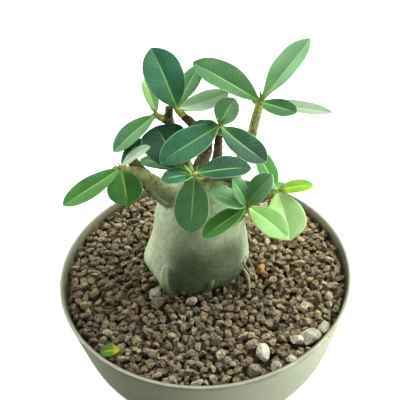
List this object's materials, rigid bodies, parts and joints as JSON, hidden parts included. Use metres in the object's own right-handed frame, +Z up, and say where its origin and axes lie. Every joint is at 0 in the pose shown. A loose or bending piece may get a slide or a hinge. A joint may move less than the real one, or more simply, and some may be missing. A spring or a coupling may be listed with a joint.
{
  "type": "potted desert rose adenium",
  "caption": "Potted desert rose with a swollen caudex, pruned branches and leafy rosettes, growing in coarse grit in a round bowl.",
  "frame": {"origin": "centre of the bowl's base, on the surface the bowl stands on", "axes": "+Z up from the base through the bowl's rim, -Y the side of the plant that the picture shows, +X to the right of that view"},
  "size_m": [0.1498, 0.15, 0.169],
  "materials": {
    "bowl": "matt grey green",
    "grit": "rough dry volcanic grit, brown with tan and grey grains",
    "bark": "smooth dull grey green bark, browner on the branches",
    "leaf": "satin dark green blade with pale midrib",
    "young_leaf": "satin yellow green"
  },
  "bodies": {
    "root": {"bowl": "bowl", "grit": "grit", "caudex_with_branches": "bark", "rosette_upper_left": "leaf", "rosette_top_stub": "leaf", "rosette_middle": "leaf", "rosette_left": "leaf", "rosette_front_centre": "leaf", "rosette_centre": "leaf", "rosette_right": "leaf", "rosette_low_front": "leaf", "rosette_low_right": "leaf", "shed_leaf": "young_leaf"}
  },
  "joints": []
}
